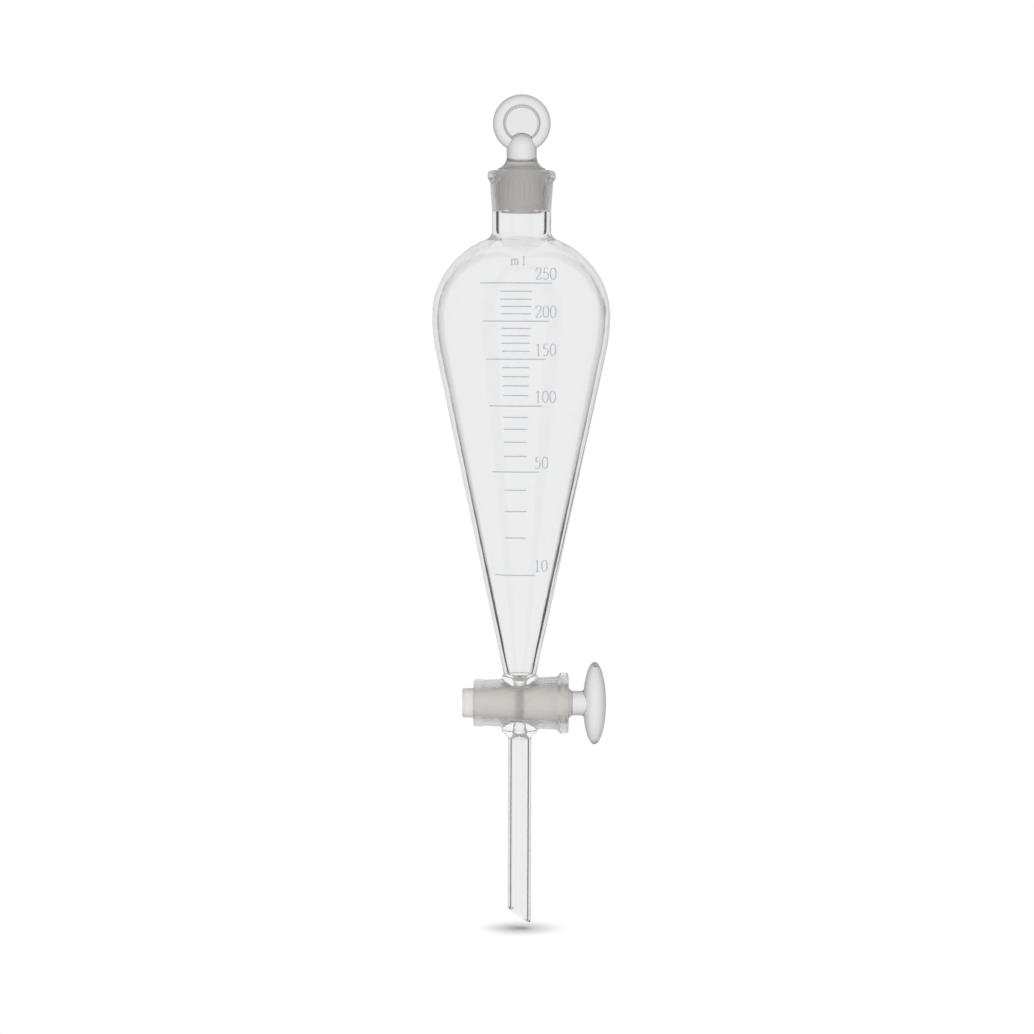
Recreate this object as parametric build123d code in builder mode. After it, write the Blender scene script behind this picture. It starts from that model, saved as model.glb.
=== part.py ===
from build123d import *
import os
from collections import namedtuple
from math import acos, atan2, cos, degrees, hypot, pi, radians, sin, sqrt, tan

# A 250 ml separatory funnel in clear glass: a pear-shaped bulb with a ground neck, a solid-plug
# stopcock fused across the foot of its cone, a drain stem with a slanted tip, and a loose stopper
# with an upright round head. Lengths are in millimetres and volumes in millilitres. Heights are
# measured from the stopcock's centre line, which lies along X. The part's origin is on the
# funnel's axis, where the cone rests in its support ring.

# Support ring that carries the cone
ring_bore = 50.0

# Ground joints: every mating cone widens by one part in ten on its diameter
ground_taper = 0.1
grind_gap = 0.05

# Bulb
belly_radius = 35.5
belly_height = 155.0
dome_rise = 33.2
belly_curve = 69.0
bulb_wall = 1.9

# Foot of the cone, just above the stopcock barrel
foot_radius = 6.5
foot_rise = 1.0
foot_wall = 2.4
drain_slope = 2.7

# Neck and ground socket
neck_length = 26.3
neck_bore = 18.0
shoulder_blend = 3.4
socket_mouth = 18.9
socket_depth = 15.8
socket_wall = 3.15
socket_step = 0.5
rim_overhang = 1.0
rim_depth = 3.0
rim_slope = 1.6
rim_round = 1.5

# Stopper
stopper_depth = 16.8
stopper_land = 0.8
stopper_end_round = 0.8
flare_height = 4.1
flare_hollow = 0.7
post_radius = 6.0
post_height = 4.2
head_radius = 11.5
head_lift = 13.8
head_thickness = 6.6
head_web = 2.6
head_round = 3.0
dimple_radius = 6.6
dimple_slope = 0.9
dimple_round = 0.8

# Stopcock barrel
barrel_left = 18.6
barrel_right = 19.5
barrel_wall = 3.0
left_bead_rise = 0.5
left_bead_width = 3.2
flange_rise = 1.3
flange_width = 3.4
bead_slope = 1.4
bead_round = 1.2
mouth_round = 0.6

# Stopcock plug
plug_radius = 6.9
plug_overhang = 4.4
plug_inset = 1.6
plug_shoulder = 3.0
shoulder_round = 1.5
drain_bore = 3.6
end_round = 0.5
shank_radius = 4.95
shank_length = 4.4
handle_thickness = 9.3
handle_height = 33.2
handle_depth = 12.6
handle_blend = 1.0

# Fused collars and drain stem
collar_radius = 7.2
collar_lip = 0.5
collar_drop = 1.5
collar_round = 1.1
weld_blend = 0.8
stem_radius = 4.6
stem_bore = 6.2
stem_flare = 2.4
stem_drop = 89.0
tip_angle = 35.0
tip_polish = 0.35

# Fired graduation marks on the front of the bulb, up to a clear height below the shoulder
first_mark = 10
mark_step = 10
long_mark_step = 50
scale_headroom = 17.0
mark_width = 0.42
enamel_thickness = 0.12
print_offset = -2.1
long_mark_low = 16.0
long_mark_high = 28.0
short_mark_low = 8.0
short_mark_high = 12.6


# Outline of the bulb: the belly's radius, the dome's rise, the belly's curve and the cone's foot
Pear = namedtuple("Pear", "belly rise curve foot")


def pear_inside(inset, foot_inset):
    """The bulb's outline, set in from the outer glass by a wall, and by another wall at the foot."""
    foot = (foot_radius - foot_inset, foot_height)
    return Pear(belly_radius - inset, dome_rise - inset, belly_curve - inset, foot)


def cone_lean(pear):
    """Angle in degrees from the axis to the straight side that meets the belly's curve smoothly."""
    across = pear.foot[0] - (pear.belly - pear.curve)
    down = belly_height - pear.foot[1]
    return degrees(atan2(down, across)) - degrees(acos(pear.curve / hypot(across, down)))


def dome_height(radius, pear):
    """Height at which the dome of the bulb has a radius."""
    return belly_height + pear.rise * sqrt(1 - (radius / pear.belly) ** 2)


def draw_pear(neck, pear):
    """Draws the dome, the belly and the side of the cone in the open line builder."""
    lean = cone_lean(pear)
    half_arc = acos(neck / pear.belly) / 2
    dome_corner = (pear.belly, belly_height + pear.rise * tan(half_arc))
    dome_end = (neck, dome_height(neck, pear))
    # These three weights make the curve a true arc of the dome's ellipse
    Bezier((pear.belly, belly_height), dome_corner, dome_end, weights=[1, cos(half_arc), 1])
    lower_belly = CenterArc((pear.belly - pear.curve, belly_height), pear.curve, -lean, lean)
    Line(pear.foot, lower_belly @ 0)


def pear_radius_at(height, pear):
    """Radius of the pear at a height."""
    lean = radians(cone_lean(pear))
    if height < belly_height - pear.curve * sin(lean):
        return pear.foot[0] + (height - pear.foot[1]) * tan(lean)
    if height < belly_height:
        return pear.belly - pear.curve + sqrt(pear.curve**2 - (belly_height - height) ** 2)
    return pear.belly * sqrt(1 - ((height - belly_height) / pear.rise) ** 2)


def mark_heights(pear, top, slice_height=0.1):
    """Height of the liquid at each marked volume, found by filling the pear in thin slices."""
    cubic_mm_per_ml = 1000.0
    heights = {}
    volume = first_mark
    filled = 0.0
    height = pear.foot[1]
    while height < top:
        filled += pi * pear_radius_at(height + slice_height / 2, pear) ** 2 * slice_height
        height += slice_height
        if filled >= volume * cubic_mm_per_ml:
            heights[volume] = height
            volume += mark_step
    return heights


def plug_radius_at(x):
    """Radius of the stopcock's ground cone at a place along its axis."""
    return plug_radius + ground_taper / 2 * x


def barrel_radius_at(x):
    """Outer radius of the tapered barrel at a place along its axis."""
    return plug_radius_at(x) + grind_gap + barrel_wall


# Radii and heights that follow from the sizes above
socket_radius = socket_mouth / 2
socket_floor_radius = socket_radius - ground_taper / 2 * socket_depth
neck_radius = socket_floor_radius + socket_wall
rim_radius = socket_radius + socket_wall + rim_overhang
barrel_radius = barrel_radius_at(0)
collar_top = barrel_radius_at(collar_radius) + collar_lip
collar_bottom = -barrel_radius - collar_drop
foot_height = collar_top + foot_rise
glass_pear = pear_inside(0, 0)
inside_pear = pear_inside(bulb_wall, foot_wall)
ring_height = foot_height + (ring_bore / 2 - foot_radius) / tan(radians(cone_lean(glass_pear)))
shoulder = (neck_radius, dome_height(neck_radius, glass_pear))
inside_shoulder = (neck_bore / 2, dome_height(neck_bore / 2, inside_pear))
rim_height = shoulder[1] + neck_length
socket_floor = rim_height - socket_depth

# Upright profiles are drawn in one plane: radius to the right, height above the stopcock upwards
half_section = Plane(origin=(0, 0, -ring_height), x_dir=(1, 0, 0), z_dir=(0, -1, 0))
stopcock_level = Plane.XY.offset(-ring_height)
stopcock_axis = Axis((0, 0, -ring_height), (1, 0, 0))


# Funnel body: socket, bulb, barrel and stem are one fused piece of glass
with BuildPart() as funnel_body:
    # Outside of the neck, the bulb, the fused collars and the stem
    with BuildSketch(half_section):
        with BuildLine():
            FilletPolyline(
                (0, rim_height),
                (rim_radius, rim_height),
                (rim_radius, rim_height - rim_depth),
                (rim_radius - rim_overhang, rim_height - rim_depth - rim_slope),
                (neck_radius, socket_floor),
                shoulder,
                radius=[rim_round, rim_round, rim_round, rim_round],
            )
            draw_pear(neck_radius, glass_pear)
            FilletPolyline(
                glass_pear.foot,
                (collar_radius, collar_top),
                (collar_radius, collar_bottom),
                (stem_radius, collar_bottom - stem_flare),
                (stem_radius, -stem_drop),
                (0, -stem_drop),
                (0, rim_height),
                radius=[0, collar_round, stem_flare, 0, 0],
            )
        outside = make_face()
        fillet(outside.vertices().sort_by_distance(shoulder)[0], shoulder_blend)
    revolve(axis=Axis.Z)

    # Barrel of the stopcock, with a bead at its small end and a flange at its large end
    with BuildSketch(half_section):
        with BuildLine():
            flange_foot = barrel_right - flange_width
            bead_top = barrel_radius_at(-barrel_left) + left_bead_rise
            flange_top = barrel_radius_at(barrel_right) + flange_rise
            bead_foot = left_bead_width - barrel_left
            bead_rounds = 6 * [bead_round]
            FilletPolyline(
                (-barrel_left, 0),
                (-barrel_left, bead_top),
                (bead_foot, bead_top),
                (bead_foot + bead_slope, barrel_radius_at(bead_foot + bead_slope)),
                (flange_foot - bead_slope, barrel_radius_at(flange_foot - bead_slope)),
                (flange_foot, flange_top),
                (barrel_right, flange_top),
                (barrel_right, 0),
                (-barrel_left, 0),
                radius=[0, *bead_rounds, 0],
            )
        make_face()
    revolve(axis=stopcock_axis)
    fillet(funnel_body.edges(Select.LAST).filter_by(GeomType.BSPLINE), weld_blend)

    # Ground socket, inside of the neck and the bulb, and the drain down through the barrel to the tip
    with BuildSketch(half_section):
        with BuildLine():
            Polyline(
                (0, rim_height),
                (socket_radius, rim_height),
                (socket_floor_radius, socket_floor),
                (neck_bore / 2, socket_floor - socket_step),
                inside_shoulder,
            )
            draw_pear(neck_bore / 2, inside_pear)
            Polyline(
                inside_pear.foot,
                (drain_bore / 2, foot_height - drain_slope),
                (drain_bore / 2, -barrel_radius),
                (stem_bore / 2, collar_bottom - stem_flare),
                (stem_bore / 2, -stem_drop),
                (0, -stem_drop),
                (0, rim_height),
            )
        inside = make_face()
        fillet(inside.vertices().sort_by_distance(inside_shoulder)[0], shoulder_blend + bulb_wall)
    revolve(axis=Axis.Z, mode=Mode.SUBTRACT)

    # Ground bore of the barrel
    with BuildSketch(half_section):
        with BuildLine():
            Polyline(
                (-barrel_left, 0),
                (-barrel_left, plug_radius_at(-barrel_left) + grind_gap),
                (barrel_right, plug_radius_at(barrel_right) + grind_gap),
                (barrel_right, 0),
                close=True,
            )
        make_face()
    revolve(axis=stopcock_axis, mode=Mode.SUBTRACT)

    # Fire-polished mouths of the socket and the barrel, each the inner edge of its flat ring
    rim_face = funnel_body.faces().filter_by(Axis.Z).sort_by(Axis.Z)[-1]
    barrel_ends = funnel_body.faces().filter_by(Axis.X).sort_by(Axis.X)
    mouth_faces = [rim_face, barrel_ends[0], barrel_ends[-1]]
    fillet([face.edges().sort_by(SortBy.RADIUS)[0] for face in mouth_faces], mouth_round)

    # Slanted tip of the stem, longest on the handle's side
    slant = radians(tip_angle)
    toe = (stem_radius, 0, -ring_height - stem_drop)
    tip_plane = Plane(origin=toe, z_dir=(sin(slant), 0, cos(slant)))
    split(bisect_by=tip_plane, keep=Keep.TOP)
    tip_face = funnel_body.faces().filter_by(GeomType.PLANE).sort_by(Axis.Z)[0]
    fillet(tip_face.edges(), tip_polish)

funnel_body.part.label = "funnel_body"


# Stopper: a ground cone, a post with a domed top, and an upright round head with a recess each side
crown_height = rim_height + stopper_land
stopper_foot = rim_height - stopper_depth
flare_top = crown_height + flare_height
head_height = crown_height + flare_height + head_lift
head_centre = -ring_height + head_height


def stopper_radius_at(height):
    """Radius of the stopper's ground cone at a height."""
    return socket_radius - grind_gap + ground_taper / 2 * (height - rim_height)


with BuildPart() as stopper:
    with BuildSketch(half_section):
        with BuildLine():
            FilletPolyline(
                (0, flare_top),
                (0, stopper_foot),
                (stopper_radius_at(stopper_foot), stopper_foot),
                (stopper_radius_at(crown_height), crown_height),
                radius=[0, stopper_end_round],
            )
            crown = (stopper_radius_at(crown_height), crown_height)
            SagittaArc(crown, (post_radius, flare_top), flare_hollow)
            Line((post_radius, flare_top), (post_radius, flare_top + post_height))
            CenterArc((0, flare_top + post_height), post_radius, 0, 90)
            Line((0, flare_top + post_height + post_radius), (0, flare_top))
        make_face()
    revolve(axis=Axis.Z)

    with BuildSketch(Plane.XY.offset(head_centre)):
        with BuildLine():
            half_head = head_thickness / 2
            half_web = head_web / 2
            dimple_edge = dimple_radius + dimple_slope
            recess_rounds = [dimple_round, dimple_round]
            FilletPolyline(
                (0, -half_web),
                (dimple_radius, -half_web),
                (dimple_edge, -half_head),
                (head_radius, -half_head),
                (head_radius, half_head),
                (dimple_edge, half_head),
                (dimple_radius, half_web),
                (0, half_web),
                (0, -half_web),
                radius=[0, *recess_rounds, head_round, head_round, *recess_rounds, 0],
            )
        make_face()
    revolve(axis=Axis((0, 0, head_centre), (0, 1, 0)))

stopper.part.label = "stopper"


# Stopcock plug: a ground cone with the drain bored across it, a clear shank and a flattened oval handle
taper_end = barrel_right - plug_inset
shank_start = taper_end + plug_shoulder
handle_centre = shank_start + shank_length + handle_thickness / 2
small_end = -barrel_left - plug_overhang

with BuildPart() as handle:
    with BuildSketch(Plane.XZ):
        with BuildLine():
            quarter_turn = 90
            half_oval = (handle_thickness / 2, handle_height / 2)
            EllipticalCenterArc((0, 0), *half_oval, start_angle=-quarter_turn, arc_size=quarter_turn)
            EllipticalCenterArc((0, 0), *half_oval, start_angle=0, arc_size=quarter_turn)
            Line((0, handle_height / 2), (0, -handle_height / 2))
        make_face()
    revolve(axis=Axis.Z)
    scale(by=(1, handle_depth / handle_thickness, 1))

with BuildPart() as stopcock_plug:
    with BuildSketch(half_section):
        with BuildLine():
            FilletPolyline(
                (small_end, 0),
                (small_end, plug_radius_at(small_end)),
                (taper_end, plug_radius_at(taper_end)),
                (shank_start, shank_radius),
                (handle_centre, shank_radius),
                (handle_centre, 0),
                (small_end, 0),
                radius=[0, end_round, shoulder_round, end_round, 0, 0],
            )
        make_face()
    revolve(axis=stopcock_axis)

    # Drain across the ground cone, in line with the stem while the handle is upright
    with BuildSketch(stopcock_level):
        Circle(drain_bore / 2)
    extrude(amount=barrel_radius, both=True, mode=Mode.SUBTRACT)

    # Handle, melted onto the end of the shank
    with Locations((handle_centre, 0, -ring_height)):
        add(handle.part)
    handle_joint = stopcock_plug.edges(Select.LAST).filter_by(GeomType.BSPLINE).sort_by(Axis.X)[0]
    fillet(handle_joint, handle_blend)

stopcock_plug.part.label = "stopcock_plug"


# Graduation marks: thin enamel lines that follow the glass, each at the height of its volume
marks = mark_heights(inside_pear, shoulder[1] - scale_headroom)
volumes = list(marks)
long_marks = [volume for volume in volumes if volume == first_mark or volume % long_mark_step == 0]


def mark_length(volume):
    """Length of a mark across the front of the bulb. Both kinds grow evenly towards the top."""
    if volume in long_marks:
        share = long_marks.index(volume) / (len(long_marks) - 1)
        return long_mark_low + share * (long_mark_high - long_mark_low)
    share = volumes.index(volume) / (len(volumes) - 1)
    return short_mark_low + share * (short_mark_high - short_mark_low)


enamel_pear = pear_inside(-enamel_thickness, -enamel_thickness)
enamel_top = (neck_radius, dome_height(neck_radius, enamel_pear))

with BuildPart() as graduation_marks:
    # Bars that stand forward from the axis, one for each volume
    with BuildSketch(half_section):
        for volume, height in marks.items():
            with Locations((print_offset, height)):
                Rectangle(mark_length(volume), mark_width)
    extrude(amount=belly_radius + enamel_thickness)

    # Only the skin just outside the glass is kept of each bar
    with BuildSketch(half_section):
        with BuildLine():
            draw_pear(neck_radius, enamel_pear)
            Polyline(enamel_pear.foot, (0, foot_height), (0, enamel_top[1]), enamel_top)
        make_face()
        with BuildLine():
            draw_pear(neck_radius, glass_pear)
            Polyline(glass_pear.foot, (0, foot_height), (0, shoulder[1]), shoulder)
        make_face(mode=Mode.SUBTRACT)
    revolve(axis=Axis.Z, mode=Mode.INTERSECT)

graduation_marks.part.label = "graduation_marks"


os.makedirs("parts", exist_ok=True)
for piece in (funnel_body, stopper, stopcock_plug, graduation_marks):
    export_step(piece.part, f"parts/{piece.part.label}.step")
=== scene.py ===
"""Separatory funnel: glass finishes, printed scale, floor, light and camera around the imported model."""

import math

import bpy
from bpy.props import FloatProperty, FloatVectorProperty, PointerProperty
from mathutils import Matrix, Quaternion, Vector


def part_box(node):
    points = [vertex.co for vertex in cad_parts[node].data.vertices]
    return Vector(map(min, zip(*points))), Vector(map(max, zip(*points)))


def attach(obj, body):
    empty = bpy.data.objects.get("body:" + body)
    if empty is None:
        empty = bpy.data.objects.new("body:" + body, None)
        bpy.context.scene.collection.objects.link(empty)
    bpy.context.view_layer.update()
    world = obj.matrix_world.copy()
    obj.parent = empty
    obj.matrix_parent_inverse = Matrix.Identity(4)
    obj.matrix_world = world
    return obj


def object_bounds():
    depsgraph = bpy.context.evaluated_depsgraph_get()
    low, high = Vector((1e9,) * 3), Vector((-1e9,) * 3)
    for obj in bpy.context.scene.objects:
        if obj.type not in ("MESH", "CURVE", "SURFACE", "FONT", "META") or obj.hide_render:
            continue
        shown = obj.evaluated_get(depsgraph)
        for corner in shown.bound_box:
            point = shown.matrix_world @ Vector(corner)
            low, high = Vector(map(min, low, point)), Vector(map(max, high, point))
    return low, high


bl_info = {
    "name": "Separatory funnel",
    "version": (1, 0, 0),
    "blender": (4, 5, 0),
    "location": "View3D > Sidebar > Funnel",
    "description": "Dresses a separatory funnel in clear and ground glass, with a printed scale",
    "category": "Object",
}

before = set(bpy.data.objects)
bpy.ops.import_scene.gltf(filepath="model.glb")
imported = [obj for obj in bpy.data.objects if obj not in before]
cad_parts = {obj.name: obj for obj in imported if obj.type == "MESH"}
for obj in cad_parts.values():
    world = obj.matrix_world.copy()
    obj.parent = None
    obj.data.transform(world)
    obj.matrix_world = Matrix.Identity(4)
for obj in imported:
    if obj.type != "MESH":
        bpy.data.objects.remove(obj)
cad_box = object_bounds()

MM = 0.001

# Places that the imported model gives
body_low, body_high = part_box("funnel_body")
stopper_low, stopper_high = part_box("stopper")
plug_low, plug_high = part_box("stopcock_plug")
STOPCOCK_HEIGHT = (plug_low.z + plug_high.z) / 2

# Painted shade where glass turns away, partly its longer path through the glass and mostly the dark edges its
# surroundings give glass: how it darkens, the way it does so, and from where to where, 0 face on and 1 edge
# on
THIN_EDGE_SHADE = ("SMOOTHSTEP", 0.6, 1.0)
SOLID_EDGE_SHADE = ("LINEAR", 0.0, 0.85)

# Grain of the ground glass, the melted glass and the enamel, in spots to the metre, and the shades it gives
GRIT_SCALE, GRIT_DETAIL = 900.0, 3.0
GRIT_SHADES = (0.94, 1.04)
WAVE_SCALE, WAVE_DETAIL = 260.0, 1.0
ENAMEL_SCALE = 500.0
ENAMEL_SHADES = (0.8, 1.25)
ENAMEL_ROUGHNESS = 0.35

# Heights above and below the stopcock between which the melted glass becomes even
WELD_REACH = (9.0 * MM, 15.0 * MM)

# What a mirrored ray finds: the white surroundings or a dark card, each card's soft edge on a wave that is 1
# in its middle, and how many surfaces the ray has crossed while it is still inside one wall
MIRRORED_WHITE, MIRRORED_CARD = 0.85, 0.02
CARD_EDGE = (0.905, 0.955)
WALL_CROSSINGS = (0.5, 3.5)

# Volumes in millilitres: one mark for each step, and a numeral at these
MARK_STEP = 10
NUMBERED_MARKS = (10, 50, 100, 150, 200, 250)


class FunnelGlass(bpy.types.PropertyGroup):
    """Sizes and colours of the glass."""

    ior: FloatProperty(name="Refraction", description="How strongly the glass bends light", default=1.473)
    tint: FloatVectorProperty(
        name="Tint", description="Colour of the thin blown glass", subtype="COLOR",
        default=(0.925, 0.927, 0.927),
    )
    # Painted shade: the thin glass's colour where it turns away, darkened to stand in for the dark edges its
    # surroundings give it
    edge_tint: FloatVectorProperty(
        name="Edge tint", description="Colour of the thin glass where it turns away", subtype="COLOR",
        default=(0.5, 0.505, 0.505),
    )
    solid_tint: FloatVectorProperty(
        name="Solid tint", description="Colour of the solid pieces", subtype="COLOR",
        default=(0.80, 0.80, 0.80),
    )
    # Painted shade: the solid pieces' colour where they turn away, almost black to stand in for the dark
    # edges their surroundings give them
    solid_edge_tint: FloatVectorProperty(
        name="Solid edge tint", description="Colour of the solid pieces where they turn away",
        subtype="COLOR", default=(0.03, 0.03, 0.03),
    )
    socket_tint: FloatVectorProperty(
        name="Socket tint", description="Colour of the ground socket and barrel", subtype="COLOR",
        default=(0.985, 0.97, 0.955),
    )
    # Painted shade: the ground cones' grey is partly the frost of the ground glass and partly darkened to
    # stand in for the dim light that comes through it
    stopper_ground: FloatVectorProperty(
        name="Stopper ground", description="Colour of the stopper's ground cone", subtype="COLOR",
        default=(0.567, 0.548, 0.525),
    )
    plug_ground: FloatVectorProperty(
        name="Plug ground", description="Colour of the plug's ground cone", subtype="COLOR",
        default=(0.84, 0.80, 0.77),
    )
    ground_roughness: FloatProperty(
        name="Ground roughness", description="Roughness of the ground joints", default=0.42
    )
    melted_depth: FloatProperty(
        name="Melted waves", description="Unevenness of the glass close to its welds",
        unit="LENGTH", default=0.25 * MM,
    )
    blown_depth: FloatProperty(
        name="Blown waves", description="Unevenness of the blown glass",
        unit="LENGTH", default=0.012 * MM,
    )


class FunnelPrint(bpy.types.PropertyGroup):
    """Sizes and colours of the printed scale."""

    enamel: FloatVectorProperty(
        name="Enamel", description="Colour of the fired enamel", subtype="COLOR", default=(0.49, 0.53, 0.64)
    )
    numeral_height: FloatProperty(
        name="Numeral height", description="Height of a numeral", unit="LENGTH", default=4.6 * MM
    )
    thick_stroke: FloatProperty(
        name="Thick stroke", description="Width of an upright line of a numeral",
        unit="LENGTH", default=0.44 * MM,
    )
    thin_stroke: FloatProperty(
        name="Thin stroke", description="Width of a level line of a numeral",
        unit="LENGTH", default=0.22 * MM,
    )
    numeral_left: FloatProperty(
        name="Numeral edge", description="Where the numerals start, right of the middle of the front",
        unit="LENGTH", default=5.4 * MM,
    )
    numeral_rise: FloatProperty(
        name="Numeral rise", description="Gap between a long mark and its numeral",
        unit="LENGTH", default=1.4 * MM,
    )
    unit_height: FloatProperty(
        name="Unit height", description="Height of the unit's tall letter",
        unit="LENGTH", default=3.3 * MM,
    )
    unit_left: FloatProperty(
        name="Unit edge", description="Where the unit starts, left of the middle of the front",
        unit="LENGTH", default=-4.3 * MM,
    )
    unit_rise: FloatProperty(
        name="Unit rise", description="Gap between the top mark and the unit",
        unit="LENGTH", default=7.2 * MM,
    )
    thickness: FloatProperty(
        name="Thickness", description="Thickness of the enamel", unit="LENGTH", default=0.06 * MM
    )


class FunnelStage(bpy.types.PropertyGroup):
    """Sizes of the stage."""

    eye_distance: FloatProperty(
        name="Eye distance", description="Distance from the camera to the funnel", unit="LENGTH", default=1.30
    )
    eye_height: FloatProperty(
        name="Eye height", description="Height of the camera", unit="LENGTH", default=0.050
    )
    eye_azimuth: FloatProperty(
        name="Eye azimuth", description="How far the camera stands round towards the handle",
        subtype="ANGLE", default=0.0,
    )
    eye_roll: FloatProperty(
        name="Eye roll", description="Lean of the picture", subtype="ANGLE", default=math.radians(0.19)
    )
    aim_side: FloatProperty(
        name="Aim side", description="Where the camera looks, right of the axis",
        unit="LENGTH", default=-1.4 * MM,
    )
    aim_height: FloatProperty(
        name="Aim height", description="Where the camera looks, above the ring's seat",
        unit="LENGTH", default=-23.8 * MM,
    )
    view_width: FloatProperty(
        name="View width", description="Width of the picture at the funnel", unit="LENGTH", default=0.4136
    )
    fill_light: FloatProperty(
        name="Fill light", description="Share of the light that comes from all round", default=0.4
    )
    floor_size: FloatProperty(name="Floor", description="Width of the floor", unit="LENGTH", default=6.0)
    floor_drop: FloatProperty(
        name="Floor drop", description="Gap between the stem's tip and the floor",
        unit="LENGTH", default=2.5 * MM,
    )
    # Painted shadow on the floor: how far it reaches, how fast it darkens and how dark its middle is
    shadow_reach: FloatProperty(
        name="Shadow reach", description="How close the glass shades the floor",
        unit="LENGTH", default=15 * MM,
    )
    shadow_power: FloatProperty(
        name="Shadow power", description="How fast the shadow darkens inwards", default=4.0
    )
    shadow_level: FloatProperty(
        name="Shadow level", description="Light left in the middle of the shadow", default=0.25
    )


def new_node(tree, kind, place, **settings):
    """Adds a node at a place in the tree, with its own settings."""
    node = tree.nodes.new(kind)
    node.location = place
    for name, value in settings.items():
        setattr(node, name, value)
    return node


def math_node(tree, operation, place, first, second=None, third=None):
    """Adds a math node whose inputs are sockets or numbers, and returns its result."""
    node = new_node(tree, "ShaderNodeMath", place, operation=operation)
    for index, value in enumerate((first, second, third)):
        if isinstance(value, bpy.types.NodeSocket):
            tree.links.new(value, node.inputs[index])
        elif value is not None:
            node.inputs[index].default_value = value
    return node.outputs[0]


def empty_material(name):
    """A material with one Principled shader, and its tree."""
    material = bpy.data.materials.new(name)
    material.use_nodes = True
    tree = material.node_tree
    tree.nodes.clear()
    output = new_node(tree, "ShaderNodeOutputMaterial", (600, 0))
    shader = new_node(tree, "ShaderNodeBsdfPrincipled", (300, 0))
    tree.links.new(shader.outputs["BSDF"], output.inputs["Surface"])
    return material, tree, shader


def both(tree, first, second, place):
    """1 where two masks are both 1."""
    return math_node(tree, "MULTIPLY", place, first, second)


def glass_material(name, glass, zone, tint, edge_tint, edge, ground_tint_and_shade):
    """Clear glass with painted shade where it turns away, that turns to ground glass where zone, a function
    of the object's coordinates, is 1.
    """
    material, tree, shader = empty_material(name)
    shader.inputs["IOR"].default_value = glass.ior
    shader.inputs["Transmission Weight"].default_value = 1.0
    coordinates = new_node(tree, "ShaderNodeTexCoord", (-1500, 0))
    split = new_node(tree, "ShaderNodeSeparateXYZ", (-1300, 0))
    tree.links.new(coordinates.outputs["Object"], split.inputs[0])
    mask = zone(tree, *split.outputs)

    # Fine grit of the grinding, in its colour and its gloss; the ground colour is partly the frost of the
    # glass and partly painted shade
    grit = new_node(tree, "ShaderNodeTexNoise", (-700, -400))
    grit.inputs["Scale"].default_value = GRIT_SCALE
    grit.inputs["Detail"].default_value = GRIT_DETAIL
    tree.links.new(coordinates.outputs["Object"], grit.inputs["Vector"])
    shade = new_node(tree, "ShaderNodeMapRange", (-500, -400))
    shade.inputs["To Min"].default_value, shade.inputs["To Max"].default_value = GRIT_SHADES
    tree.links.new(grit.outputs[0], shade.inputs["Value"])
    ground = new_node(tree, "ShaderNodeVectorMath", (-300, -400), operation="SCALE")
    ground.inputs[0].default_value = ground_tint_and_shade
    tree.links.new(shade.outputs["Result"], ground.inputs["Scale"])

    # Painted shade: glass that turns away is darker, partly for the full depth it is seen through and mostly
    # standing in for the dark edges its surroundings give it
    facing = new_node(tree, "ShaderNodeLayerWeight", (-500, 500))
    way, edge_start, edge_end = edge
    edge_shade_share = new_node(tree, "ShaderNodeMapRange", (-300, 500), interpolation_type=way)
    edge_shade_share.inputs["From Min"].default_value = edge_start
    edge_shade_share.inputs["From Max"].default_value = edge_end
    tree.links.new(facing.outputs["Facing"], edge_shade_share.inputs["Value"])
    clear = new_node(tree, "ShaderNodeMix", (-150, 400), data_type="RGBA")
    clear.inputs["A"].default_value = (*tint, 1)
    clear.inputs["B"].default_value = (*edge_tint, 1)
    tree.links.new(edge_shade_share.outputs["Result"], clear.inputs["Factor"])

    colour = new_node(tree, "ShaderNodeMix", (0, 100), data_type="RGBA")
    tree.links.new(clear.outputs["Result"], colour.inputs["A"])
    tree.links.new(mask, colour.inputs["Factor"])
    tree.links.new(ground.outputs[0], colour.inputs["B"])
    tree.links.new(colour.outputs["Result"], shader.inputs["Base Color"])
    gloss = math_node(tree, "MULTIPLY", (0, -200), mask, glass.ground_roughness)
    tree.links.new(gloss, shader.inputs["Roughness"])

    # Glass melted by hand is uneven close to the stopcock, and almost even away from it
    from_weld = math_node(tree, "SUBTRACT", (-1100, -800), split.outputs["Z"], STOPCOCK_HEIGHT)
    distance = math_node(tree, "ABSOLUTE", (-900, -800), from_weld)
    melted = new_node(tree, "ShaderNodeMapRange", (-700, -800), interpolation_type="SMOOTHSTEP")
    melted.inputs["From Min"].default_value, melted.inputs["From Max"].default_value = WELD_REACH
    melted.inputs["To Min"].default_value = glass.melted_depth
    melted.inputs["To Max"].default_value = glass.blown_depth
    tree.links.new(distance, melted.inputs["Value"])
    waves = new_node(tree, "ShaderNodeTexNoise", (-700, -1000))
    waves.inputs["Scale"].default_value = WAVE_SCALE
    waves.inputs["Detail"].default_value = WAVE_DETAIL
    tree.links.new(coordinates.outputs["Object"], waves.inputs["Vector"])
    surface = new_node(tree, "ShaderNodeBump", (-100, -700))
    tree.links.new(melted.outputs["Result"], surface.inputs["Distance"])
    tree.links.new(waves.outputs[0], surface.inputs["Height"])
    tree.links.new(surface.outputs[0], shader.inputs["Normal"])
    return material


def radius_from_axis(tree, first, second, place):
    """Distance from an axis, from the two coordinates across it."""
    squares = math_node(tree, "MULTIPLY", place, first, first)
    total = math_node(tree, "MULTIPLY_ADD", (place[0] + 180, place[1]), second, second, squares)
    return math_node(tree, "SQRT", (place[0] + 360, place[1]), total)


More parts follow.
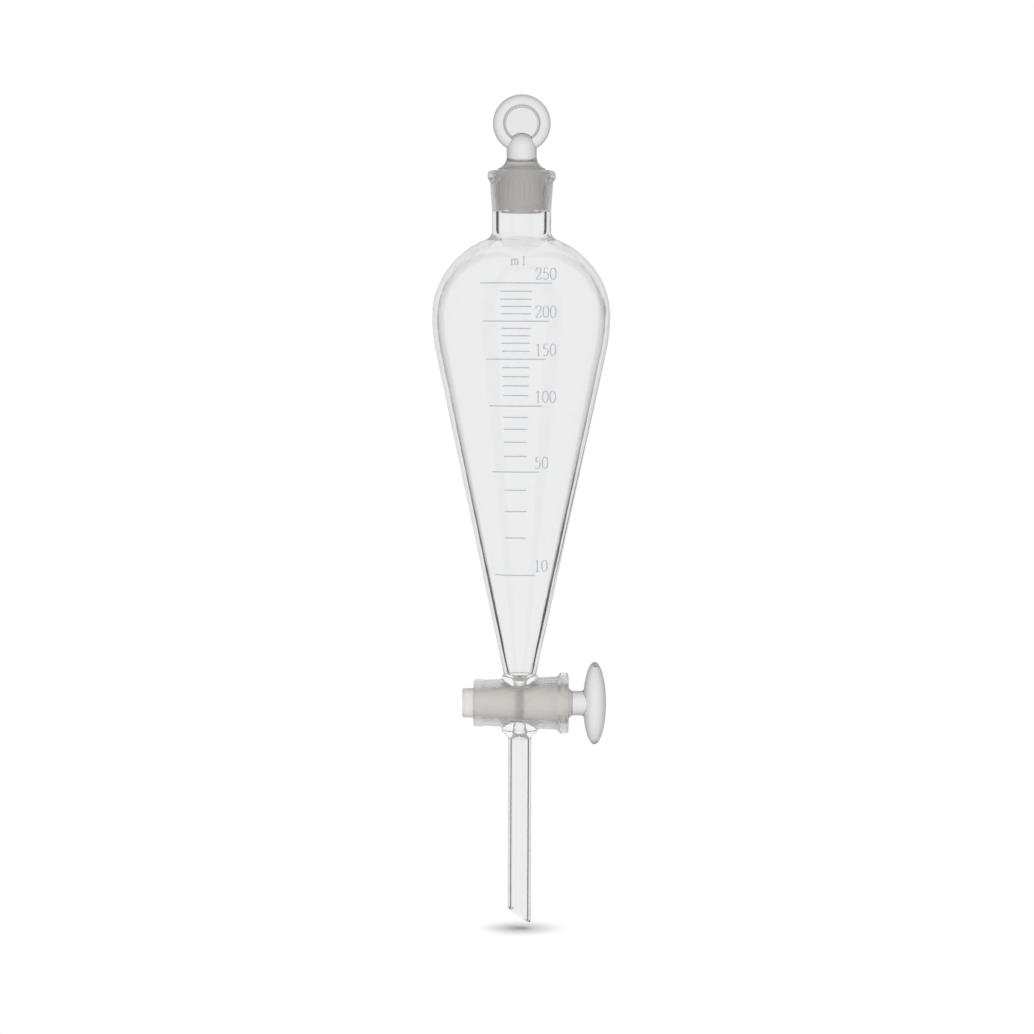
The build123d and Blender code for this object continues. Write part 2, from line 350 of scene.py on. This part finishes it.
def body_zone(tree, x, y, z):
    """Ground zone of the funnel body: the socket, and the bore of the stopcock's barrel."""
    socket_reach = 10.4 * MM
    socket_floor = stopper_low.z + 1.0 * MM
    from_axis = radius_from_axis(tree, x, y, (-1100, 300))
    in_socket = both(
        tree,
        math_node(tree, "LESS_THAN", (-600, 300), from_axis, socket_reach),
        math_node(tree, "GREATER_THAN", (-600, 150), z, socket_floor),
        (-400, 300),
    )
    bore_reach = 8.4 * MM
    above_stopcock = math_node(tree, "SUBTRACT", (-1100, -100), z, STOPCOCK_HEIGHT)
    from_stopcock = radius_from_axis(tree, y, above_stopcock, (-1100, 0))
    in_bore = math_node(tree, "LESS_THAN", (-600, 0), from_stopcock, bore_reach)
    return math_node(tree, "MAXIMUM", (-200, 200), in_socket, in_bore)


def stopper_zone(tree, x, y, z):
    """Ground zone of the stopper: its cone below the top of the socket."""
    cone_top = body_high.z + 0.8 * MM
    return math_node(tree, "LESS_THAN", (-400, 200), z, cone_top)


def plug_zone(tree, x, y, z):
    """Ground zone of the plug: its cone inside the barrel and past its small end."""
    cone_end = 17.9 * MM
    return math_node(tree, "LESS_THAN", (-400, 200), x, cone_end)


def enamel_material(print_):
    """Fired enamel, a little uneven in its colour."""
    material, tree, shader = empty_material("blue_enamel")
    shader.inputs["Roughness"].default_value = ENAMEL_ROUGHNESS
    coordinates = new_node(tree, "ShaderNodeTexCoord", (-700, 0))
    noise = new_node(tree, "ShaderNodeTexNoise", (-500, 0))
    noise.inputs["Scale"].default_value = ENAMEL_SCALE
    tree.links.new(coordinates.outputs["Object"], noise.inputs["Vector"])
    shade = new_node(tree, "ShaderNodeMapRange", (-300, 0))
    shade.inputs["To Min"].default_value, shade.inputs["To Max"].default_value = ENAMEL_SHADES
    tree.links.new(noise.outputs[0], shade.inputs["Value"])
    colour = new_node(tree, "ShaderNodeVectorMath", (0, 0), operation="SCALE")
    colour.inputs[0].default_value = print_.enamel
    tree.links.new(shade.outputs["Result"], colour.inputs["Scale"])
    tree.links.new(colour.outputs[0], shader.inputs["Base Color"])
    return material


# Strokes of each glyph in a box one unit tall, with the glyph's advance. A stroke's points are joined by
# a smooth curve where its first value is True, and by straight lines where it is False.
GLYPHS = {
    "0": (0.62, [(True, [(0.28, 1.0), (0.10, 0.84), (0.05, 0.5), (0.10, 0.16), (0.28, 0.0),
                         (0.46, 0.16), (0.51, 0.5), (0.46, 0.84), (0.28, 1.0)])]),
    "1": (0.62, [(False, [(0.14, 0.85), (0.29, 0.98), (0.29, 0.0)]), (False, [(0.14, 0.0), (0.44, 0.0)])]),
    "2": (0.62, [(True, [(0.07, 0.72), (0.10, 0.90), (0.27, 1.0), (0.45, 0.90), (0.46, 0.68),
                         (0.30, 0.38), (0.06, 0.05)]),
                 (False, [(0.05, 0.02), (0.48, 0.02), (0.52, 0.18)])]),
    "5": (0.62, [(False, [(0.46, 0.98), (0.15, 0.98), (0.12, 0.56)]),
                 (True, [(0.12, 0.54), (0.26, 0.62), (0.44, 0.52), (0.49, 0.31), (0.40, 0.08),
                         (0.22, 0.0), (0.06, 0.10)])]),
    "m": (1.35, [(False, [(0.04, 0.64), (0.16, 0.68), (0.16, 0.0)]), (False, [(0.04, 0.0), (0.28, 0.0)]),
                 (True, [(0.16, 0.52), (0.30, 0.66), (0.46, 0.66), (0.52, 0.50), (0.52, 0.0)]),
                 (False, [(0.40, 0.0), (0.64, 0.0)]),
                 (True, [(0.52, 0.52), (0.66, 0.66), (0.82, 0.66), (0.88, 0.50), (0.88, 0.0)]),
                 (False, [(0.76, 0.0), (1.0, 0.0)])]),
    "l": (0.62, [(False, [(0.10, 0.96), (0.24, 1.0), (0.24, 0.0)]), (False, [(0.10, 0.0), (0.38, 0.0)])]),
}
STROKE_STEPS = 6


def stroke_path(smooth, points):
    """Points close together along a stroke, on a smooth curve or on straight lines through its points."""
    corners = [Vector(point) for point in points]
    closed = corners[0] == corners[-1]
    path = []
    for index in range(len(corners) - 1):
        start, end = corners[index], corners[index + 1]
        before = corners[index - 1] if index else (corners[-2] if closed else start)
        after = corners[index + 2] if index + 2 < len(corners) else (corners[1] if closed else end)
        for step in range(STROKE_STEPS):
            share = step / STROKE_STEPS
            if smooth:
                low, high = start + (end - before) / 6, end - (after - start) / 6
                side = [start.lerp(low, share), low.lerp(high, share), high.lerp(end, share)]
                path.append(side[0].lerp(side[1], share).lerp(side[1].lerp(side[2], share), share))
            else:
                path.append(start.lerp(end, share))
    return [*path, corners[-1]]


def ribbon(path, nib):
    """Both edges of a stroke drawn with an oval nib, wide across uprights and narrow across level lines."""
    edges = []
    closed = path[0] == path[-1]
    for index, point in enumerate(path):
        before = path[index - 1] if index else (path[-2] if closed else point)
        after = path[index + 1] if index + 1 < len(path) else (path[1] if closed else point)
        along = (after - before).normalized()
        across = Vector((-along.y, along.x))
        reach = math.hypot(across.x * nib.x, across.y * nib.y)
        edges.append((point + across * reach, point - across * reach))
    return edges


def lettering(words, left, base, height, nib):
    """Upright flat quads of a line of glyphs, facing the front, as points and faces."""
    points, faces = [], []
    for glyph in words:
        advance, strokes = GLYPHS[glyph]
        for smooth, corners in strokes:
            path = [Vector((left, base)) + height * spot for spot in stroke_path(smooth, corners)]
            edges = ribbon(path, nib)
            first = len(points)
            for pair in edges:
                points.extend((spot.x, 0.0, spot.y) for spot in pair)
            for index in range(len(edges) - 1):
                corner = first + 2 * index
                faces.append((corner, corner + 1, corner + 3, corner + 2))
        left += advance * height
    return points, faces


def transfer_tree():
    """Geometry Nodes that lay flat glyphs on the front of the glass, and give them the enamel's thickness."""
    tree = bpy.data.node_groups.new("fired_transfer", "GeometryNodeTree")
    sockets = {}
    for name, kind, way in (
        ("Geometry", "NodeSocketGeometry", "INPUT"),
        ("Glass", "NodeSocketObject", "INPUT"),
        ("Thickness", "NodeSocketFloat", "INPUT"),
        ("Reach", "NodeSocketFloat", "INPUT"),
        ("Enamel", "NodeSocketMaterial", "INPUT"),
        ("Geometry", "NodeSocketGeometry", "OUTPUT"),
    ):
        socket = tree.interface.new_socket(name, in_out=way, socket_type=kind)
        sockets[way, name] = socket.identifier
    given = new_node(tree, "NodeGroupInput", (-900, 0))
    glass = new_node(tree, "GeometryNodeObjectInfo", (-700, -200))
    here = new_node(tree, "GeometryNodeInputPosition", (-900, -400))
    start = new_node(tree, "ShaderNodeVectorMath", (-700, -400), operation="SUBTRACT")
    ray = new_node(tree, "GeometryNodeRaycast", (-500, -200), data_type="FLOAT")
    ray.inputs["Ray Direction"].default_value = (0, 1, 0)
    step_back = new_node(tree, "ShaderNodeCombineXYZ", (-900, -600))
    laid = new_node(tree, "GeometryNodeSetPosition", (-200, 0))
    raised = new_node(tree, "GeometryNodeExtrudeMesh", (0, 0), mode="FACES")
    raised.inputs["Individual"].default_value = False
    back = new_node(tree, "GeometryNodeFlipFaces", (0, -300))
    joined = new_node(tree, "GeometryNodeJoinGeometry", (200, 0))
    merged = new_node(tree, "GeometryNodeMergeByDistance", (400, 0))
    merged.inputs["Distance"].default_value = 0.001 * MM
    plain = new_node(tree, "GeometryNodeRealizeInstances", (600, 0))
    coated = new_node(tree, "GeometryNodeSetMaterial", (800, 0))
    result = new_node(tree, "NodeGroupOutput", (1000, 0))
    for source, target in (
        (given.outputs["Glass"], glass.inputs["Object"]),
        (given.outputs["Reach"], step_back.inputs["Y"]),
        (here.outputs[0], start.inputs[0]),
        (step_back.outputs[0], start.inputs[1]),
        (glass.outputs["Geometry"], ray.inputs["Target Geometry"]),
        (start.outputs[0], ray.inputs["Source Position"]),
        (given.outputs["Reach"], ray.inputs["Ray Length"]),
        (given.outputs["Geometry"], laid.inputs["Geometry"]),
        (ray.outputs["Hit Position"], laid.inputs["Position"]),
        (laid.outputs[0], raised.inputs["Mesh"]),
        (given.outputs["Thickness"], raised.inputs["Offset Scale"]),
        (laid.outputs[0], back.inputs["Mesh"]),
        (raised.outputs["Mesh"], joined.inputs[0]),
        (back.outputs[0], joined.inputs[0]),
        (joined.outputs[0], merged.inputs[0]),
        (merged.outputs[0], plain.inputs[0]),
        (plain.outputs[0], coated.inputs["Geometry"]),
        (given.outputs["Enamel"], coated.inputs["Material"]),
        (coated.outputs[0], result.inputs[0]),
    ):
        tree.links.new(source, target)
    return tree, sockets


def settle(piece, tree, sockets, values):
    """Runs a Geometry Nodes tree on a piece with its inputs, and makes the result its plain mesh."""
    modifier = piece.modifiers.new(tree.name, "NODES")
    modifier.node_group = tree
    for name, value in values.items():
        modifier[sockets["INPUT", name]] = value
    bpy.context.view_layer.update()
    grown = piece.evaluated_get(bpy.context.evaluated_depsgraph_get())
    mesh = bpy.data.meshes.new_from_object(grown)
    piece.modifiers.remove(modifier)
    piece.data = mesh
    mesh.name = piece.name


def mark_levels():
    """Height of the middle of each printed mark, from the lowest up."""
    heights = sorted(vertex.co.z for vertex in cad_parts["graduation_marks"].data.vertices)
    gap = 1.0 * MM
    groups = [[heights[0]]]
    for height in heights[1:]:
        if height - groups[-1][-1] > gap:
            groups.append([])
        groups[-1].append(height)
    return [(group[0] + group[-1]) / 2 for group in groups]


def dress(node, material):
    """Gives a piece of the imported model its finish."""
    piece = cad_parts[node]
    piece.data.materials.clear()
    piece.data.materials.append(material)
    return piece


class FUNNEL_OT_glass_body(bpy.types.Operator):
    """Finish the funnel body in clear glass with a ground socket and a ground barrel"""

    bl_idname = "funnel.glass_body"
    bl_label = "Glass body"

    def execute(self, context):
        glass = context.scene.funnel_glass
        finish = (glass.tint, glass.edge_tint, THIN_EDGE_SHADE, glass.socket_tint)
        dress("funnel_body", glass_material("body_glass", glass, body_zone, *finish))
        return {"FINISHED"}


class FUNNEL_OT_stopper(bpy.types.Operator):
    """Finish the stopper in clear glass with a ground cone"""

    bl_idname = "funnel.stopper"
    bl_label = "Stopper"

    def execute(self, context):
        glass = context.scene.funnel_glass
        finish = (glass.solid_tint, glass.solid_edge_tint, SOLID_EDGE_SHADE, glass.stopper_ground)
        dress("stopper", glass_material("stopper_glass", glass, stopper_zone, *finish))
        return {"FINISHED"}


class FUNNEL_OT_stopcock_plug(bpy.types.Operator):
    """Finish the stopcock's plug in clear glass with a ground cone"""

    bl_idname = "funnel.stopcock_plug"
    bl_label = "Stopcock plug"

    def execute(self, context):
        glass = context.scene.funnel_glass
        finish = (glass.solid_tint, glass.solid_edge_tint, SOLID_EDGE_SHADE, glass.plug_ground)
        dress("stopcock_plug", glass_material("plug_glass", glass, plug_zone, *finish))
        return {"FINISHED"}


class FUNNEL_OT_printed_scale(bpy.types.Operator):
    """Finish the marks in enamel, and print the numerals and the unit beside them"""

    bl_idname = "funnel.printed_scale"
    bl_label = "Printed scale"

    def execute(self, context):
        print_ = context.scene.funnel_print
        enamel = enamel_material(print_)
        dress("graduation_marks", enamel)
        levels = mark_levels()
        nib = Vector((print_.thick_stroke, print_.thin_stroke)) / 2
        lines = [("ml", print_.unit_left, levels[-1] + print_.unit_rise, print_.unit_height)]
        for volume in NUMBERED_MARKS:
            base = levels[volume // MARK_STEP - 1] + print_.numeral_rise
            lines.append((str(volume), print_.numeral_left, base, print_.numeral_height))
        points, faces = [], []
        for words, left, base, height in lines:
            spots, quads = lettering(words, left, base, height, nib)
            faces.extend(tuple(corner + len(points) for corner in quad) for quad in quads)
            points.extend(spots)
        mesh = bpy.data.meshes.new("numerals")
        mesh.from_pydata(points, [], faces)
        numerals = bpy.data.objects.new("numerals", mesh)
        context.scene.collection.objects.link(numerals)
        tree, sockets = transfer_tree()
        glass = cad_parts["funnel_body"]
        values = {"Glass": glass, "Thickness": print_.thickness, "Reach": 2 * body_high.y, "Enamel": enamel}
        settle(numerals, tree, sockets, values)
        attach(numerals, "funnel")
        return {"FINISHED"}


def direction_strips(tree, place):
    """1 for directions near the four corners of the compass, where dark cards stand, and 0 elsewhere."""
    coordinates = new_node(tree, "ShaderNodeTexCoord", place)
    split = new_node(tree, "ShaderNodeSeparateXYZ", (place[0] + 180, place[1]))
    tree.links.new(coordinates.outputs["Generated"], split.inputs[0])
    x, y, z = split.outputs
    angle = math_node(tree, "ARCTAN2", (place[0] + 360, place[1]), x, y)
    double = math_node(tree, "MULTIPLY", (place[0] + 540, place[1]), angle, 2.0)
    wave = math_node(tree, "SINE", (place[0] + 720, place[1]), double)
    size = math_node(tree, "ABSOLUTE", (place[0] + 900, place[1]), wave)
    ramp = new_node(tree, "ShaderNodeMapRange", (place[0] + 1080, place[1]), interpolation_type="SMOOTHSTEP")
    ramp.inputs["From Min"].default_value, ramp.inputs["From Max"].default_value = CARD_EDGE
    tree.links.new(size, ramp.inputs["Value"])
    return ramp.outputs["Result"]


def build_world(fill_light):
    """White all round, with dark cards at four corners that only light mirrored inside the glass can see."""
    world = bpy.data.worlds.new("studio")
    world.use_nodes = True
    tree = world.node_tree
    tree.nodes.clear()
    output = new_node(tree, "ShaderNodeOutputWorld", (900, 0))
    background = new_node(tree, "ShaderNodeBackground", (700, 0))
    background.inputs["Color"].default_value = (1, 1, 1, 1)
    path = new_node(tree, "ShaderNodeLightPath", (-700, 400))
    strips = direction_strips(tree, (-1900, 0))
    card = new_node(tree, "ShaderNodeMapRange", (-600, 0))
    card.inputs["To Min"].default_value = MIRRORED_WHITE
    card.inputs["To Max"].default_value = MIRRORED_CARD
    # Light mirrored inside a wall crosses its surface twice, on its way in and on its way out
    crossings = path.outputs["Transmission Depth"]
    entered = math_node(tree, "GREATER_THAN", (-500, 700), crossings, WALL_CROSSINGS[0])
    one_wall = math_node(tree, "LESS_THAN", (-500, 550), crossings, WALL_CROSSINGS[1])
    inside = math_node(tree, "MULTIPLY", (-300, 600), entered, one_wall)
    reflected = math_node(tree, "GREATER_THAN", (-500, 400), path.outputs["Glossy Depth"], 0.5)
    card_share = math_node(tree, "MULTIPLY", (-100, 500), inside, strips)
    tree.links.new(card_share, card.inputs["Value"])
    seen = new_node(tree, "ShaderNodeMix", (-100, 200), data_type="FLOAT")
    seen.inputs["A"].default_value = 1.0
    tree.links.new(reflected, seen.inputs["Factor"])
    tree.links.new(card.outputs["Result"], seen.inputs["B"])
    fill = new_node(tree, "ShaderNodeMix", (200, 200), data_type="FLOAT")
    fill.inputs["B"].default_value = fill_light
    tree.links.new(path.outputs["Is Diffuse Ray"], fill.inputs["Factor"])
    tree.links.new(seen.outputs["Result"], fill.inputs["A"])
    tree.links.new(fill.outputs["Result"], background.inputs["Strength"])
    tree.links.new(background.outputs[0], output.inputs["Surface"])
    world.cycles.sampling_method = "NONE"
    bpy.context.scene.world = world


def build_floor(stage):
    """A white floor that shines, with a painted shadow where the glass stands close over it, and that light
    mirrored in the glass passes through.
    """
    half = stage.floor_size / 2
    height = cad_box[0].z - stage.floor_drop
    mesh = bpy.data.meshes.new("floor")
    corners = [(x * half, y * half, height) for x, y in ((-1, -1), (1, -1), (1, 1), (-1, 1))]
    mesh.from_pydata(corners, [], [(0, 1, 2, 3)])
    floor = bpy.data.objects.new("floor", mesh)
    bpy.context.scene.collection.objects.link(floor)
    material = bpy.data.materials.new("floor")
    material.use_nodes = True
    tree = material.node_tree
    tree.nodes.clear()
    output = new_node(tree, "ShaderNodeOutputMaterial", (600, 0))
    # Painted shadow: the floor shines as white as the surroundings, darkened by occlusion from the glass that
    # stands close over it rather than by the light
    near = new_node(tree, "ShaderNodeAmbientOcclusion", (-800, 0), samples=16)
    near.inputs["Distance"].default_value = stage.shadow_reach
    painted_shadow_open_share = math_node(tree, "POWER", (-600, 0), near.outputs["AO"], stage.shadow_power)
    level = new_node(tree, "ShaderNodeMapRange", (-400, 0))
    level.inputs["To Min"].default_value = stage.shadow_level
    tree.links.new(painted_shadow_open_share, level.inputs["Value"])
    white = new_node(tree, "ShaderNodeEmission", (0, 0))
    tree.links.new(level.outputs["Result"], white.inputs["Strength"])
    clear = new_node(tree, "ShaderNodeBsdfTransparent", (0, -200))
    path = new_node(tree, "ShaderNodeLightPath", (-400, 200))
    mirrored = math_node(tree, "GREATER_THAN", (-200, 200), path.outputs["Glossy Depth"], 0.5)
    mix = new_node(tree, "ShaderNodeMixShader", (300, 0))
    tree.links.new(mirrored, mix.inputs[0])
    tree.links.new(white.outputs[0], mix.inputs[1])
    tree.links.new(clear.outputs[0], mix.inputs[2])
    tree.links.new(mix.outputs[0], output.inputs["Surface"])
    mesh.materials.append(material)


def build_lamp(fill_light):
    """One wide soft light overhead, that with the fill light shows a colour about as it is written."""
    lamp = bpy.data.lights.new("overhead", "SUN")
    lamp.energy = (1 - fill_light) * math.pi
    lamp.angle = math.radians(150)
    light = bpy.data.objects.new("overhead", lamp)
    light.visible_glossy = False
    light.visible_transmission = False
    bpy.context.scene.collection.objects.link(light)


def build_camera(stage):
    """The camera, at the photograph's viewing angle."""
    camera = bpy.data.cameras.new("camera")
    eye = bpy.data.objects.new("camera", camera)
    bpy.context.scene.collection.objects.link(eye)
    aim = Vector((stage.aim_side, 0, stage.aim_height))
    turn = stage.eye_azimuth
    across = Vector((math.sin(turn), -math.cos(turn), 0)) * stage.eye_distance
    eye.location = Vector((aim.x, 0, stage.eye_height)) + across
    look = aim - eye.location
    camera.lens = camera.sensor_width * look.length / stage.view_width
    eye.rotation_mode = "QUATERNION"
    roll = Quaternion((0, 0, 1), stage.eye_roll)
    eye.rotation_quaternion = look.to_track_quat("-Z", "Y") @ roll
    bpy.context.scene.camera = eye


class FUNNEL_OT_stage(bpy.types.Operator):
    """Build the floor, the light, the white surroundings and the camera"""

    bl_idname = "funnel.stage"
    bl_label = "Stage"

    def execute(self, context):
        stage = context.scene.funnel_stage
        build_world(stage.fill_light)
        build_floor(stage)
        build_lamp(stage.fill_light)
        build_camera(stage)
        scene = context.scene
        scene.view_settings.view_transform = "Standard"
        scene.cycles.max_bounces = 32
        scene.cycles.transmission_bounces = 32
        scene.cycles.glossy_bounces = 16
        scene.cycles.caustics_refractive = False
        scene.cycles.caustics_reflective = False
        return {"FINISHED"}


OPERATORS = (
    FUNNEL_OT_glass_body,
    FUNNEL_OT_stopper,
    FUNNEL_OT_stopcock_plug,
    FUNNEL_OT_printed_scale,
    FUNNEL_OT_stage,
)


class FUNNEL_PT_pieces(bpy.types.Panel):
    """Lists what the funnel is made of"""

    bl_idname = "FUNNEL_PT_pieces"
    bl_label = "Separatory funnel"
    bl_space_type = "VIEW_3D"
    bl_region_type = "UI"
    bl_category = "Funnel"

    def draw(self, context):
        for operator in OPERATORS:
            self.layout.operator(operator.bl_idname)
        for group in (context.scene.funnel_glass, context.scene.funnel_print, context.scene.funnel_stage):
            box = self.layout.box()
            for name in group.__annotations__:
                box.prop(group, name)


CLASSES = (FunnelGlass, FunnelPrint, FunnelStage, *OPERATORS, FUNNEL_PT_pieces)


def register():
    for cls in CLASSES:
        bpy.utils.register_class(cls)
    bpy.types.Scene.funnel_glass = PointerProperty(type=FunnelGlass)
    bpy.types.Scene.funnel_print = PointerProperty(type=FunnelPrint)
    bpy.types.Scene.funnel_stage = PointerProperty(type=FunnelStage)


def unregister():
    del bpy.types.Scene.funnel_stage
    del bpy.types.Scene.funnel_print
    del bpy.types.Scene.funnel_glass
    for cls in reversed(CLASSES):
        bpy.utils.unregister_class(cls)


def main():
    """Builds every piece in order."""
    register()
    bpy.ops.funnel.glass_body()
    bpy.ops.funnel.stopper()
    bpy.ops.funnel.stopcock_plug()
    bpy.ops.funnel.printed_scale()
    bpy.ops.funnel.stage()


if __name__ == "__main__":
    main()
